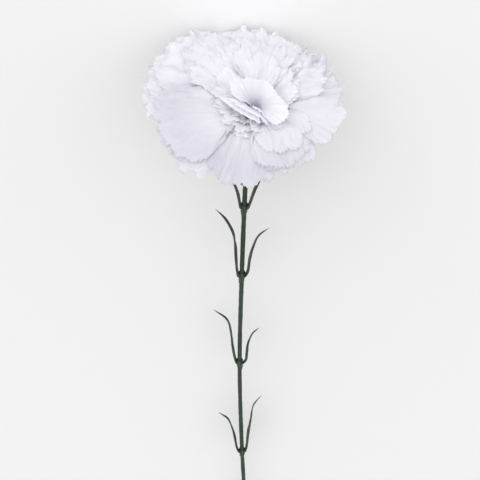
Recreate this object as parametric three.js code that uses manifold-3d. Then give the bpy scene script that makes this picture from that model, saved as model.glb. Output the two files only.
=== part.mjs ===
// A single-stem artificial carnation lying on its side: separate cloth petals held in a moulded
// calyx, on a plastic-sheathed wire stem with pairs of narrow leaves sleeved onto its nodes.
// Millimetres, +Z up. +Y runs from the cut end of the stem towards the bloom, +X is the bloom's
// right hand as it faces forward and up, and the origin is the middle of the flower's box on the surface.
import * as THREE from "three";
import { mergeVertices } from "three/addons/utils/BufferGeometryUtils.js";
import Module from "manifold-3d";

const wasm = await Module();
wasm.setup();

// ---------------------------------------------------------------- driving dimensions
const BLOOM_RADIUS = 45;
const STEM_LENGTH = 443; // cut end to the foot of the calyx
const STEM_RADIUS = 1.1;
const WIRE_RADIUS = 0.5;
const WIRE_CLEARANCE = 0.15;
const FIT_GAP = 0.3; // between pieces that touch
const PETAL_THICKNESS = 0.22;
const CALYX_LENGTH = 24;
const CALYX_WALL = 0.7;
const LIE_ANGLE = THREE.MathUtils.degToRad(3.03); // slope of the stem when the bloom rests on its rim

const white = new THREE.MeshStandardMaterial({ color: 0xf1f0f8, roughness: 0.85, metalness: 0 });
const leafGreen = new THREE.MeshStandardMaterial({ color: 0x3e5240, roughness: 0.5, metalness: 0 });
const stemGreen = new THREE.MeshStandardMaterial({ color: 0x44594a, roughness: 0.5, metalness: 0 });
const calyxGreen = new THREE.MeshStandardMaterial({ color: 0x5d7a55, roughness: 0.5, metalness: 0 });
const coreGreen = new THREE.MeshStandardMaterial({ color: 0x8fa383, roughness: 0.6, metalness: 0 });
const steel = new THREE.MeshStandardMaterial({ color: 0x8b8d8f, roughness: 0.4, metalness: 1 });

// ---------------------------------------------------------------- shaping helpers
function piece(name, geometry, material) {
  const mesh = new THREE.Mesh(geometry, material);
  mesh.name = name;
  return mesh;
}

// Moves every vertex of a closed geometry to where `place` puts it.
function shaped(geometry, place) {
  const position = geometry.getAttribute("position");
  const point = new THREE.Vector3();
  for (let i = 0; i < position.count; i++) {
    point.fromBufferAttribute(position, i);
    place(point);
    position.setXYZ(i, point.x, point.y, point.z);
  }
  geometry.deleteAttribute("normal");
  geometry.deleteAttribute("uv");
  return geometry;
}

function solidOf(geometry) {
  const merged = geometry.clone();
  merged.deleteAttribute("normal");
  merged.deleteAttribute("uv");
  const whole = mergeVertices(merged, 1e-3);
  return new wasm.Manifold(
    new wasm.Mesh({
      numProp: 3,
      vertProperties: whole.getAttribute("position").array,
      triVerts: new Uint32Array(whole.index.array),
    }),
  );
}

function geometryOf(solid) {
  const mesh = solid.getMesh();
  return new THREE.BufferGeometry()
    .setAttribute("position", new THREE.BufferAttribute(mesh.vertProperties, 3))
    .setIndex(new THREE.BufferAttribute(mesh.triVerts, 1));
}

function revolved(profile, sides) {
  return new THREE.LatheGeometry(profile.map(([radius, height]) => new THREE.Vector2(radius, height)), sides);
}

const smooth = (from, to, x) => THREE.MathUtils.smoothstep(x, from, to);

// ---------------------------------------------------------------- stem line
// The stem bows a little sideways and nods upwards over its last few centimetres.
const stemLine = new THREE.CatmullRomCurve3([
  new THREE.Vector3(4.2, 0, 0),
  new THREE.Vector3(1.6, 90, 0),
  new THREE.Vector3(-2.8, 213, 0),
  new THREE.Vector3(-4.2, 298, 0),
  new THREE.Vector3(-3.1, 370, 0.2),
  new THREE.Vector3(-2.1, 415, 0.9),
  new THREE.Vector3(-1.4, STEM_LENGTH, 4),
]);
const lineLength = stemLine.getLength();

// Carries a point modelled on a straight stem, with +Y along it, onto the curved stem line.
function ontoStem(point) {
  const share = point.y / STEM_LENGTH;
  const inside = THREE.MathUtils.clamp(share, 0, 1);
  const along = stemLine.getTangentAt(inside);
  const side = new THREE.Vector3(1, 0, 0).addScaledVector(along, -along.x).normalize();
  const front = new THREE.Vector3().crossVectors(side, along);
  const centre = stemLine.getPointAt(inside).addScaledVector(along, (share - inside) * lineLength);
  point.copy(centre.addScaledVector(side, point.x).addScaledVector(front, point.z));
}

// ---------------------------------------------------------------- frames
const carnation = new THREE.Group();
const flower = new THREE.Group(); // +Y along the stem
flower.rotation.x = LIE_ANGLE;
flower.position.z = STEM_RADIUS * Math.cos(LIE_ANGLE);
carnation.add(flower);

const bloom = new THREE.Group(); // +Y out of the bloom's face, from the mouth of the calyx
const neck = stemLine.getTangentAt(1);
bloom.quaternion.setFromUnitVectors(new THREE.Vector3(0, 1, 0), neck);
bloom.position.copy(stemLine.getPointAt(1)).addScaledVector(neck, CALYX_LENGTH);
flower.add(bloom);
carnation.updateMatrixWorld(true);

// ---------------------------------------------------------------- petals
// The outermost ring's line from the calyx's mouth to its rim, as radius and height. The rings inside
// lie on it one on another.
const bladeLine = new THREE.CubicBezierCurve(
  new THREE.Vector2(5.6, 0),
  new THREE.Vector2(5.6, 32),
  new THREE.Vector2(14, 31.5),
  new THREE.Vector2(46, 29.5),
);
bladeLine.arcLengthDivisions = 400;
const CLAW_LENGTH = 9.5;
const CLAW_GAP = 0.8; // from ring to ring, in the neck and in the blades
const BLADE_GAP = 1.2;
// From the outermost ring in: the side that each petal faces, in degrees, and the radius of its rim.
const RINGS = [
  [[96, 39.3], [141, 42.5], [190, 47], [238, 45], [290, 36], [338, 40], [54, 37]],
  [[60, 35.5], [106, 21], [152, 41], [206, 47], [256, 41], [302, 33.5], [8, 41]],
  [[96, 18], [157, 42], [213, 43], [268, 40], [320, 36.5], [52, 30.5]],
  [[66, 19.5], [118, 19], [178, 17], [234, 37], [288, 35], [338, 21]],
  [[88, 16], [150, 18], [226, 30], [282, 28.5], [326, 21]],
  [[42, 16], [120, 15], [207, 20], [284, 22]],
];
const PINWHEEL = 0.6; // how far a petal lies over its neighbour
const CLAW_SPREAD = 0.29; // half width of a claw, as a share of the ring's pitch
const BLADE_SPREAD = [2 / 3, 2 / 3, 2 / 3, 2 / 3, 0.6, 0.45]; // the same for each ring's blades
const CORNER_CUT = 0.27; // how much shorter a petal is at its corners
const NEAR_DROOP = 13; // of the rim at the front of the bloom
const FAR_RISE = 2; // of the rim at the back
const FAR_STAND = 3; // how much steeper the blades stand at the back
const HEART_LEAN = new THREE.Vector2(3, 1); // of the bloom's middle, to its right and its front
const FACET_WIDTH = 9; // of rim radius, for each facet across a petal but two
// Lengths along the line at which every petal has a row of points. It is straight between them, so
// that the rings nest.
const ROWS = [0, 13, 19, 24, 29, 35, 41, 47, 54, 65];
const RIM_SHARE = 0.5; // of its width that a petal keeps at the very rim

// The surface that the flower lies on, seen from the bloom's frame. Petals that would pass through
// it are pressed up, so that the rim is flattened where it carries the flower.
const PRESS_FROM = 10;
const PRESS_DEPTH = 4.2;
const pressRate = PRESS_DEPTH / (PRESS_FROM + PRESS_DEPTH) ** 2;
const surface = new THREE.Plane(new THREE.Vector3(0, 0, 1), 0).applyMatrix4(
  bloom.matrixWorld.clone().invert(),
);
function pressOntoSurface(point) {
  const short = PRESS_FROM - surface.distanceToPoint(point);
  if (short > 0) point.addScaledVector(surface.normal, pressRate * short ** 2);
}

// How far the blades stand off their line on one side of the bloom, whatever the ring.
function riseAt(angle, radius) {
  const near = Math.max(0, Math.sin(angle));
  const far = Math.max(0, -Math.sin(angle));
  const rise = FAR_RISE * smooth(12, 34, radius);
  const stand = FAR_STAND * smooth(7, 15, radius) * (1 - smooth(20, 36, radius));
  return far * (rise + stand) - near * NEAR_DROOP * smooth(20, 46, radius);
}

// How long the line is from the mouth to a radius.
function lengthTo(radius) {
  const lengths = bladeLine.getLengths();
  const step = lengths.findIndex((_, i) => bladeLine.getPoint(i / bladeLine.arcLengthDivisions).x >= radius);
  return lengths[step < 0 ? lengths.length - 1 : step];
}

// A place in the bloom at one of the rows, off the line and turned about the bloom.
function placeAt(row, ring, turn, angle, aside) {
  const share = Math.min(1, ROWS[row] / bladeLine.getLength());
  const centre = bladeLine.getPointAt(share);
  const tangent = bladeLine.getTangentAt(share);
  const gap = THREE.MathUtils.lerp(CLAW_GAP, BLADE_GAP, smooth(12, 28, ROWS[row]));
  const lift = ring * gap + PINWHEEL * turn * smooth(0, 12, ROWS[row]) + riseAt(angle, centre.x) + aside;
  const radius = centre.x - lift * tangent.y;
  const height = centre.y + lift * tangent.x;
  const lean = smooth(10, 36, height) * (1 - radius / BLOOM_RADIUS);
  return new THREE.Vector3(
    radius * Math.cos(angle) + lean * HEART_LEAN.x,
    height,
    radius * Math.sin(angle) + lean * HEART_LEAN.y,
  );
}

// The claw is the slab's first step and the blade is the rest.
function petalGeometry(ring, facing, rim) {
  const pitch = (2 * Math.PI) / RINGS[ring].length;
  const length = lengthTo(rim);
  const rows = [...ROWS.filter((row) => row < length - 2), length];
  const facets = 2 + Math.round(rim / FACET_WIDTH);
  const slab = new THREE.BoxGeometry(2, rows.length, 1, facets, rows.length, 1);
  return shaped(slab, (point) => {
    const step = Math.round(point.y + rows.length / 2) - 1;
    const along = rows[Math.max(0, step)];
    const narrowed = ((1 - along / length) / CORNER_CUT) ** 0.25;
    const across = point.x * THREE.MathUtils.clamp(narrowed, RIM_SHARE, 1);
    const turn = across * THREE.MathUtils.lerp(CLAW_SPREAD, BLADE_SPREAD[ring], smooth(10, 24, along));
    const angle = THREE.MathUtils.degToRad(facing) + turn * pitch;
    const row = Math.min(ROWS.findLastIndex((reached) => reached <= along), ROWS.length - 2);
    const aside = point.z * PETAL_THICKNESS;
    point.lerpVectors(
      placeAt(row, ring, turn, angle, aside),
      placeAt(row + 1, ring, turn, angle, aside),
      (along - ROWS[row]) / (ROWS[row + 1] - ROWS[row]),
    );
    if (step < 0) point.y -= CLAW_LENGTH;
    pressOntoSurface(point);
  });
}

RINGS.forEach((petals, ring) => {
  petals.forEach(([facing, rim], i) => {
    bloom.add(piece(`petal_${ring + 1}_${i + 1}`, petalGeometry(ring, facing, rim), white));
  });
});

// The heart: a petal rolled into a funnel, and two folded strips beside its mouth. Each has the radius
// of its claw and the angles that it spans, its distance from the heart's middle at the neck, and the
// line of its rim.
const HEART_NECK = new THREE.Vector3(2.9, 25.5, 0.4);
const HEART_PETALS = [
  { claw: [0.6, 220, 380], neck: 1.4, facets: 14, rim: [
    [-3.2, 37, 6.3], [-7.7, 38, 2.9], [-8.3, 40, -0.6], [-7.5, 41, -3.4], [-4, 40.5, -3.1], [-0.5, 41, -3.4],
    [3, 41, -2.3], [6.5, 40.5, -2.7], [9.5, 39, -0.6], [11.9, 38, 3.2], [14.5, 37.5, 6.3], [16.3, 36.5, 9.9],
    [16, 36, 13.4], [13, 35.5, 16.4], [9.8, 35, 16.9], [7.2, 35.3, 14.2], [4.5, 36, 11.1], [1, 36.5, 8.9],
  ] },
  { claw: [1.05, 185, 75], neck: 2.7, facets: 5, rim: [
    [-13.2, 38.3, 5.1], [-9.7, 37.3, 8.1], [-5.7, 36.6, 11.1], [-1.6, 35.8, 13.5], [2.4, 35.4, 15.8],
  ] },
  { claw: [0.5, 180, 80], neck: 2.05, facets: 5, rim: [
    [-8.9, 37.8, 5.3], [-5.4, 37.2, 8.5], [-1.8, 36.7, 10.9], [2.2, 36.2, 12.9], [5.2, 35.9, 15.2],
    [7.9, 35.4, 18.1],
  ] },
];
const STALK_STEPS = 3;
const FLARE_STEPS = 4;
const STALK_RISE = 14; // straight up from the claw, before it turns to the neck
const FLARE_RISE = 6.5; // up from the neck, before the flare turns out
const FLARE_OUT = 0.16; // share of the way out to the rim that it has come by then
const NEARBY = 0.02; // share of a sheet's width, or of a step, over which its direction is taken

function heartGeometry({ claw: [clawRadius, clawFrom, clawTo], neck: neckRadius, facets, rim }) {
  const rimLine = new THREE.CatmullRomCurve3(rim.map((spot) => new THREE.Vector3(...spot)));
  const steps = 1 + STALK_STEPS + FLARE_STEPS;

  // The sheet's middle at a share of its width and a step along it.
  function spotAt(share, step) {
    const edge = rimLine.getPointAt(THREE.MathUtils.clamp(share, 0, 1));
    const turn = THREE.MathUtils.degToRad(THREE.MathUtils.lerp(clawFrom, clawTo, share));
    const foot = new THREE.Vector3(Math.cos(turn), 0, Math.sin(turn)).multiplyScalar(clawRadius);
    const outward = edge.clone().sub(HEART_NECK).setY(0).normalize();
    const neckSpot = HEART_NECK.clone().addScaledVector(outward, neckRadius);
    if (step < 1) return foot.setY((step - 1) * CLAW_LENGTH);
    if (step < 1 + STALK_STEPS) {
      const stalk = new THREE.QuadraticBezierCurve3(foot, foot.clone().setY(STALK_RISE), neckSpot);
      return stalk.getPoint((step - 1) / STALK_STEPS);
    }
    const handle = neckSpot.clone().lerp(edge, FLARE_OUT);
    handle.y += FLARE_RISE;
    const flare = new THREE.QuadraticBezierCurve3(neckSpot, handle, edge);
    return flare.getPoint((step - 1 - STALK_STEPS) / FLARE_STEPS);
  }

  const slab = new THREE.BoxGeometry(1, steps, 1, facets, steps, 1);
  return shaped(slab, (point) => {
    const share = point.x + 0.5;
    const step = point.y + steps / 2;
    const beside = Math.min(1, share + NEARBY);
    const above = Math.min(steps, step + NEARBY);
    const across = spotAt(beside, step).sub(spotAt(beside - NEARBY, step));
    const along = spotAt(share, above).sub(spotAt(share, above - NEARBY));
    const normal = across.cross(along).normalize();
    point.copy(spotAt(share, step).addScaledVector(normal, point.z * PETAL_THICKNESS));
  });
}

HEART_PETALS.forEach((petal, i) => {
  bloom.add(piece(`petal_${RINGS.length + 1}_${i + 1}`, heartGeometry(petal), white));
});

// ---------------------------------------------------------------- calyx, epicalyx and core
// Radius of the calyx's outside at heights below its mouth.
const CALYX_OUTLINE = [
  [2.4, -24], [3.6, -21.5], [5.2, -17], [6.8, -11], [7.3, -5], [7.8, 0], [9.3, 5.5],
];
const CALYX_SIDES = 24;

// A thin-walled cup whose rim is cut into pointed teeth.
function toothedCup(outline, wall, mouth, teeth, notch) {
  const outside = outline.map(([radius, height]) => [radius, height]);
  const inside = outline.map(([radius, height]) => [radius - wall, height]).reverse();
  const floorHeight = outline[0][1];
  inside[inside.length - 1][1] = floorHeight + wall;
  inside.push([mouth, floorHeight + wall]);
  const profile = [[mouth, floorHeight], ...outside, ...inside, [mouth, floorHeight]];
  let cup = solidOf(revolved(profile, CALYX_SIDES));
  const top = outline[outline.length - 1];
  const halfGap = 0.9 * (Math.PI / teeth) * top[0];
  const gap = new THREE.Shape([
    new THREE.Vector2(0, top[1] - notch),
    new THREE.Vector2(halfGap, top[1] + 1),
    new THREE.Vector2(-halfGap, top[1] + 1),
  ]);
  for (let i = 0; i < teeth; i++) {
    const cutter = new THREE.ExtrudeGeometry(gap, { depth: top[0] + 2, bevelEnabled: false });
    cutter.rotateY((2 * Math.PI * (i + 0.5)) / teeth);
    cup = cup.subtract(solidOf(cutter));
  }
  return geometryOf(cup);
}
bloom.add(piece("calyx", toothedCup(CALYX_OUTLINE, CALYX_WALL, STEM_RADIUS + FIT_GAP, 5, 6.5), calyxGreen));

// Four bracts joined at the foot, outside the calyx.
const BRACT_WALL = 0.6;
const BRACT_OUTLINE = [[3.4, -25.2], [4.6, -22.2], [6.3, -17.6], [7.9, -11.6]];
const bracts = toothedCup(BRACT_OUTLINE, BRACT_WALL, STEM_RADIUS + FIT_GAP, 4, 7.5);
bloom.add(piece("epicalyx", bracts, calyxGreen));

// The core plugs the calyx: the claws stand on it and the wire's end sits in its bore.
const SHEATH_TOP = -CALYX_LENGTH + CALYX_WALL + 2 * FIT_GAP;
const CORE_FOOT = SHEATH_TOP + FIT_GAP;
const CORE_TOP = -CLAW_LENGTH - FIT_GAP;
const WIRE_TOP = CORE_TOP - 3;
const boreRadius = WIRE_RADIUS + WIRE_CLEARANCE;
const coreProfile = [
  [boreRadius, CORE_FOOT], [1.7, CORE_FOOT], [2.5, -21.3], [4.1, -17], [5.6, -11], [5.7, CORE_TOP],
  [0, CORE_TOP], [0, WIRE_TOP + FIT_GAP], [boreRadius, WIRE_TOP + FIT_GAP], [boreRadius, CORE_FOOT],
];
bloom.add(piece("flower_core", revolved(coreProfile, 16), coreGreen));

// ---------------------------------------------------------------- stem and wire
const NODE_SPACING = [118, 95, 85, 72, 51]; // from the cut end up to the last leaf pair
const nodeHeights = NODE_SPACING.map((_, i) => NODE_SPACING.slice(0, i + 1).reduce((a, b) => a + b));
const NODE_RADIUS = 1.4;
const NODE_LENGTH = 5; // of the swelling, which ends just under the leaf pair
const NODE_SLOPE = 1.2; // of its sloped ends
const STEM_STEP = 22;
const STEM_SIDES = 10;
const WIRE_SIDES = 6;

// Outside of the sheath from the cut end up: straight runs with a swelling under each leaf pair.
const sheathOutline = [[STEM_RADIUS, 0]];
nodeHeights.forEach((height, i) => {
  const below = i ? nodeHeights[i - 1] : 0;
  for (let y = below + STEM_STEP; y < height - NODE_LENGTH - STEM_RADIUS; y += STEM_STEP) {
    sheathOutline.push([STEM_RADIUS, y]);
  }
  const foot = height - NODE_LENGTH;
  sheathOutline.push([STEM_RADIUS, foot], [NODE_RADIUS, foot + NODE_SLOPE]);
  sheathOutline.push([NODE_RADIUS, height - 1.5 * NODE_SLOPE], [STEM_RADIUS, height - 0.5 * NODE_SLOPE]);
});
sheathOutline.push([STEM_RADIUS, STEM_LENGTH - 4], [STEM_RADIUS, STEM_LENGTH + CALYX_LENGTH + SHEATH_TOP]);
const bore = sheathOutline.map(([, height]) => [boreRadius, height]).reverse();
const sheath = revolved([...sheathOutline, ...bore, sheathOutline[0]], STEM_SIDES);
flower.add(piece("stem", shaped(sheath, ontoStem), stemGreen));

const wireTop = STEM_LENGTH + CALYX_LENGTH + WIRE_TOP;
const wireOutline = sheathOutline.map(([, height]) => [WIRE_RADIUS, height]);
const wire = revolved([[0, 0], ...wireOutline, [WIRE_RADIUS, wireTop], [0, wireTop]], WIRE_SIDES);
flower.add(piece("stem_wire", shaped(wire, ontoStem), steel));

// ---------------------------------------------------------------- leaf pairs
const COLLAR_OUTER = 1.75;
const COLLAR_HEIGHT = 2.6;
const COLLAR_ROUND = 0.12; // how much smaller its ends are
const LEAF_WIDTH = 3.1;
const LEAF_THICKNESS = 1.15;
const LEAF_CHANNEL = 0.6; // how far its edges are folded back
const LEAF_FORWARD = 1.4; // how far its tip comes to the front
const LEAF_STEPS = 10;
// From the lowest pair up: how far each leaf rises, how far out it has come at five shares of that
// rise, and how far the pair is turned about the stem, in degrees.
const REACH_SHARES = [0.06, 0.3, 0.58, 0.83, 1];
const LEAF_PAIRS = [
  { left: [46, [2.7, 3.9, 5.3, 8, 13]], right: [43, [2.8, 4, 5, 7.2, 11.5]], turn: -8 },
  { left: [39, [2.6, 3.7, 4.9, 7.4, 12.4]], right: [55, [2.6, 4, 5.7, 7.3, 11.9]], turn: 6 },
  { left: [41.4, [2.4, 3.8, 4.8, 7.1, 14.3]], right: [33, [3.2, 4, 4.7, 6.9, 10.2]], turn: -5 },
  { left: [49, [2.3, 3.4, 4.4, 8.5, 13.8]], right: [36.6, [2.9, 3.7, 5.1, 7.5, 12.3]], turn: 4 },
  { left: [40, [2.2, 3.8, 7, 9.8, 12.5]], right: [42, [2.4, 4.4, 7.2, 10.5, 14]], turn: -3 },
];

// A narrow channelled leaf that leaves the collar steeply, runs up beside the stem and curls out.
function leafSolid(rise, reaches, hand) {
  const route = reaches.map((reach, i) => {
    const share = REACH_SHARES[i];
    return new THREE.Vector3(reach, share * rise, LEAF_FORWARD * share ** 2);
  });
  const midline = new THREE.CatmullRomCurve3([new THREE.Vector3(1.75, -0.6, 0), ...route]);
  const slab = new THREE.BoxGeometry(1, 1, 1, 1, LEAF_STEPS, 2);
  const leaf = shaped(slab, (point) => {
    const share = point.y + 0.5;
    const centre = midline.getPointAt(share);
    const along = midline.getTangentAt(share);
    const outward = new THREE.Vector3(along.y, -along.x, 0).normalize();
    const width = LEAF_WIDTH * (0.72 + 0.5 * smooth(0, 0.3, share)) * (1.04 - share) ** 0.55;
    const thickness = LEAF_THICKNESS * (1.1 - 0.75 * share);
    const fold = LEAF_CHANNEL * (2 * point.z) ** 2 * Math.min(1, width / LEAF_WIDTH);
    centre.addScaledVector(outward, point.x * thickness - fold);
    centre.z += point.z * width;
    point.set(hand * centre.x, centre.y, hand * centre.z);
  });
  return solidOf(leaf);
}

nodeHeights.forEach((height, i) => {
  const { left, right, turn } = LEAF_PAIRS[i];
  const inner = STEM_RADIUS + FIT_GAP;
  const collar = revolved(
    [[inner, 0], [COLLAR_OUTER - COLLAR_ROUND, 0], [COLLAR_OUTER, COLLAR_HEIGHT * 0.5],
      [COLLAR_OUTER - COLLAR_ROUND, COLLAR_HEIGHT], [inner, COLLAR_HEIGHT], [inner, 0]],
    STEM_SIDES,
  );
  const hole = new THREE.CylinderGeometry(inner, inner, 3 * COLLAR_HEIGHT, STEM_SIDES);
  const pair = solidOf(collar)
    .add(leafSolid(...right, 1))
    .add(leafSolid(...left, -1))
    .subtract(solidOf(hole));
  const geometry = geometryOf(pair);
  geometry.rotateY(THREE.MathUtils.degToRad(turn));
  geometry.translate(0, height, 0);
  flower.add(piece(`leaf_pair_${i + 1}`, shaped(geometry, ontoStem), leafGreen));
});

// ---------------------------------------------------------------- origin
// The middle of the flower's box, on the surface that it lies on.
carnation.updateMatrixWorld(true);
const box = new THREE.Box3().setFromObject(flower, true);
const middle = box.getCenter(new THREE.Vector3());
flower.position.sub(new THREE.Vector3(middle.x, middle.y, box.min.z));

export default carnation;
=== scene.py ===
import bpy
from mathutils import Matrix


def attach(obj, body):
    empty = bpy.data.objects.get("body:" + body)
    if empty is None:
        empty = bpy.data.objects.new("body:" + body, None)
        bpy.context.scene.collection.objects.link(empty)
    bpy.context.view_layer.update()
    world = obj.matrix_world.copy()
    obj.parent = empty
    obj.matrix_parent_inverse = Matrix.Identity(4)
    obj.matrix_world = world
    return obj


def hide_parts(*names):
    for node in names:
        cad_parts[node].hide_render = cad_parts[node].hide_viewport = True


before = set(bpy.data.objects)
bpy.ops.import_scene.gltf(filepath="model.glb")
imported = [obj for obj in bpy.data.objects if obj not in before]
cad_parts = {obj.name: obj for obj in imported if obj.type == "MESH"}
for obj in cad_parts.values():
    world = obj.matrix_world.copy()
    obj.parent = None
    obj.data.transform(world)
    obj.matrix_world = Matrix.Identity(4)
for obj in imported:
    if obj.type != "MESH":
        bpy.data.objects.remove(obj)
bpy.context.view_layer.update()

# A white cloth carnation on a sheathed wire stem, lying on a pale table. The script follows the
# flower from the cut end of its stem to the heart of its bloom. Sizes are in millimetres and
# MM takes them to metres where a mesh is made.
import math

import bpy
import numpy as np
from mathutils import Matrix, Vector

MM = 0.001

# ---------------------------------------------------------------- where the flower lies
# The wire inside the stem is the flower's spine: the middles of its sections, from the cut end to
# the core of the bloom, give the stem's line, and its last straight run points along the bloom.
LIE_ANGLE = math.radians(3.03)  # slope of the stem from the cut end up to the bloom
SECTION_GAP = 0.4  # between two sections of the wire, at least


def section_middles(node):
    """The middle of each section of a tube-shaped node, from its foot to its top."""
    spots = np.array([v.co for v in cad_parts[node].data.vertices]) / MM
    spots = spots[np.argsort(spots[:, 1])]
    cuts = np.flatnonzero(np.diff(spots[:, 1]) > SECTION_GAP) + 1
    return np.array([(part.min(0) + part.max(0)) / 2 for part in np.split(spots, cuts)])


wire_middles = section_middles("stem_wire")
neck = Vector(wire_middles[-1] - wire_middles[-2]).normalized()
lie = Matrix.Rotation(LIE_ANGLE, 3, "X")
along_stem = lie @ Vector((0, 1, 0))

# ---------------------------------------------------------------- camera
# It looks down on the flower from beyond the bloom, so that the bloom's face is turned to it and
# the stem runs away below.
VIEW_RISE = math.radians(48.2)  # of the line of sight from square to the stem
AIM_ALONG = 484  # from the cut end
AIM_SIDE, AIM_UP = -8.2, -58.6
VIEW_DISTANCE = 643
LENS = 109.5

square = lie @ Vector((0, 0, 1))
sight = math.cos(VIEW_RISE) * square + math.sin(VIEW_RISE) * along_stem
view_up = math.cos(VIEW_RISE) * along_stem - math.sin(VIEW_RISE) * square
view_right = view_up.cross(sight)
foot = Vector(wire_middles[0])
aim = foot + AIM_ALONG * along_stem + AIM_SIDE * view_right + AIM_UP * view_up
bpy.ops.object.camera_add()
camera = bpy.context.object
camera.name = "camera"
camera_turn = Matrix((view_right, view_up, sight)).transposed().to_4x4()
camera.matrix_world = Matrix.Translation((aim + VIEW_DISTANCE * sight) * MM) @ camera_turn
camera.data.lens = LENS
camera.data.sensor_width = 36
camera.data.clip_start = 0.01
camera.data.clip_end = 20
bpy.context.scene.camera = camera
bpy.context.scene.view_settings.view_transform = "Standard"

# ---------------------------------------------------------------- table and light
# A pale table top, a bright room all round, and one broad soft light over the bloom's face.
ROOM_LIGHT = 0.93
ROOM_SLOPE = 0.75  # how much brighter the room is beyond the bloom than behind the stem
KEY_STRENGTH = 0.55
KEY_FROM = Vector((-0.28, 0.9, 0.4))
KEY_SPREAD = math.radians(50)
TABLE_COLOUR = (0.9, 0.9, 0.9, 1)
TABLE_SIZE = 6  # in metres


def new_material(name, colour, roughness):
    """A material and its surface shader, ready for the nodes that are wired into it."""
    made = bpy.data.materials.new(name)
    made.use_nodes = True
    surface = made.node_tree.nodes["Principled BSDF"]
    surface.inputs["Base Color"].default_value = colour
    surface.inputs["Roughness"].default_value = roughness
    return made, surface


def add_node(tree, kind, wires=None, **settings):
    """Adds a node, sets it up, and wires or sets its inputs."""
    node = tree.nodes.new("ShaderNode" + kind)
    for setting, value in settings.items():
        setattr(node, setting, value)
    for socket, value in (wires or {}).items():
        if isinstance(value, bpy.types.NodeSocket):
            tree.links.new(value, node.inputs[socket])
        else:
            node.inputs[socket].default_value = value
    return node


# Unevenness that every surface here has: soft spots of a size, between two values.
mottle = bpy.data.node_groups.new("mottle", "ShaderNodeTree")
for socket, value in (("Size", 0.01), ("Low", 0.0), ("High", 1.0)):
    mottle.interface.new_socket(socket, in_out="INPUT", socket_type="NodeSocketFloat").default_value = value
mottle.interface.new_socket("Value", in_out="OUTPUT", socket_type="NodeSocketFloat")
given = mottle.nodes.new("NodeGroupInput")
spots_per_metre = add_node(mottle, "Math", {0: 1.0, 1: given.outputs["Size"]}, operation="DIVIDE")
place = add_node(mottle, "TexCoord")
cloud = add_node(mottle, "TexNoise", {
    "Vector": place.outputs["Object"], "Scale": spots_per_metre.outputs[0], "Detail": 3.0,
})
spread = add_node(mottle, "MapRange", {
    "Value": cloud.outputs["Fac"], "From Min": 0.3, "From Max": 0.7,
    "To Min": given.outputs["Low"], "To Max": given.outputs["High"],
})
mottle.links.new(spread.outputs["Result"], mottle.nodes.new("NodeGroupOutput").inputs["Value"])


def add_mottle(tree, size, low, high):
    """The mottle group in a material, and the socket of its value."""
    node = tree.nodes.new("ShaderNodeGroup")
    node.node_tree = mottle
    for socket, value in (("Size", size), ("Low", low), ("High", high)):
        node.inputs[socket].default_value = value
    return node.outputs["Value"]


def mix_colours(tree, share, one, two):
    """The socket of a colour between two others."""
    mixer = add_node(tree, "Mix", {0: share}, data_type="RGBA")
    for socket, colour in ((mixer.inputs[6], one), (mixer.inputs[7], two)):
        if isinstance(colour, bpy.types.NodeSocket):
            tree.links.new(colour, socket)
        else:
            socket.default_value = (*colour, 1)
    return mixer.outputs[2]


world = bpy.data.worlds.new("room")
world.use_nodes = True
tree = world.node_tree
sky = add_node(tree, "SeparateXYZ", {0: add_node(tree, "TexCoord").outputs["Generated"]})
slope = add_node(tree, "MapRange", {
    "Value": sky.outputs["Y"], "From Min": -1.0, "From Max": 1.0,
    "To Min": ROOM_LIGHT * (1 - ROOM_SLOPE), "To Max": ROOM_LIGHT * (1 + ROOM_SLOPE),
})
tree.links.new(slope.outputs["Result"], tree.nodes["Background"].inputs["Strength"])
tree.nodes["Background"].inputs["Color"].default_value = (1, 1, 1, 1)
bpy.context.scene.world = world
# light goes on through many sheets of thin cloth, and between them
bpy.context.scene.cycles.max_bounces = 32
bpy.context.scene.cycles.diffuse_bounces = 16
bpy.context.scene.cycles.transmission_bounces = 16

bpy.ops.object.light_add(type="SUN", rotation=KEY_FROM.to_track_quat("Z", "Y").to_euler())
key = bpy.context.object
key.name = "soft_key"
key.data.energy = KEY_STRENGTH
key.data.angle = KEY_SPREAD

bpy.ops.mesh.primitive_plane_add(size=TABLE_SIZE)
table = bpy.context.object
table.name = "table"
table_paint, table_surface = new_material("table_paint", TABLE_COLOUR, 0.9)
tree = table_paint.node_tree
tree.links.new(add_mottle(tree, 0.02, 0.86, 0.94), table_surface.inputs["Roughness"])
grain_bump = add_node(tree, "Bump", {
    "Height": add_mottle(tree, 0.0011, 0.0, 1.0), "Strength": 0.04, "Distance": 0.0002,
})
tree.links.new(grain_bump.outputs["Normal"], table_surface.inputs["Normal"])
table.data.materials.append(table_paint)

# ---------------------------------------------------------------- stem wire and core
# The drawn steel wire in the sheath and the moulded plug that it ends in, both hidden. All the
# plastics here are the same polyethylene in other greens, with paler flash at the mould's joints.
# the paler colour of flash, also painted on the leaves' side edges as a highlight
FLASH_AND_HIGHLIGHT_COLOUR = (0.2, 0.27, 0.15)

wire_steel, steel_surface = new_material("wire_steel", (0.55, 0.56, 0.57, 1), 0.35)
steel_surface.inputs["Metallic"].default_value = 1
tree = wire_steel.node_tree
tree.links.new(add_mottle(tree, 0.002, 0.25, 0.5), steel_surface.inputs["Roughness"])


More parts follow.
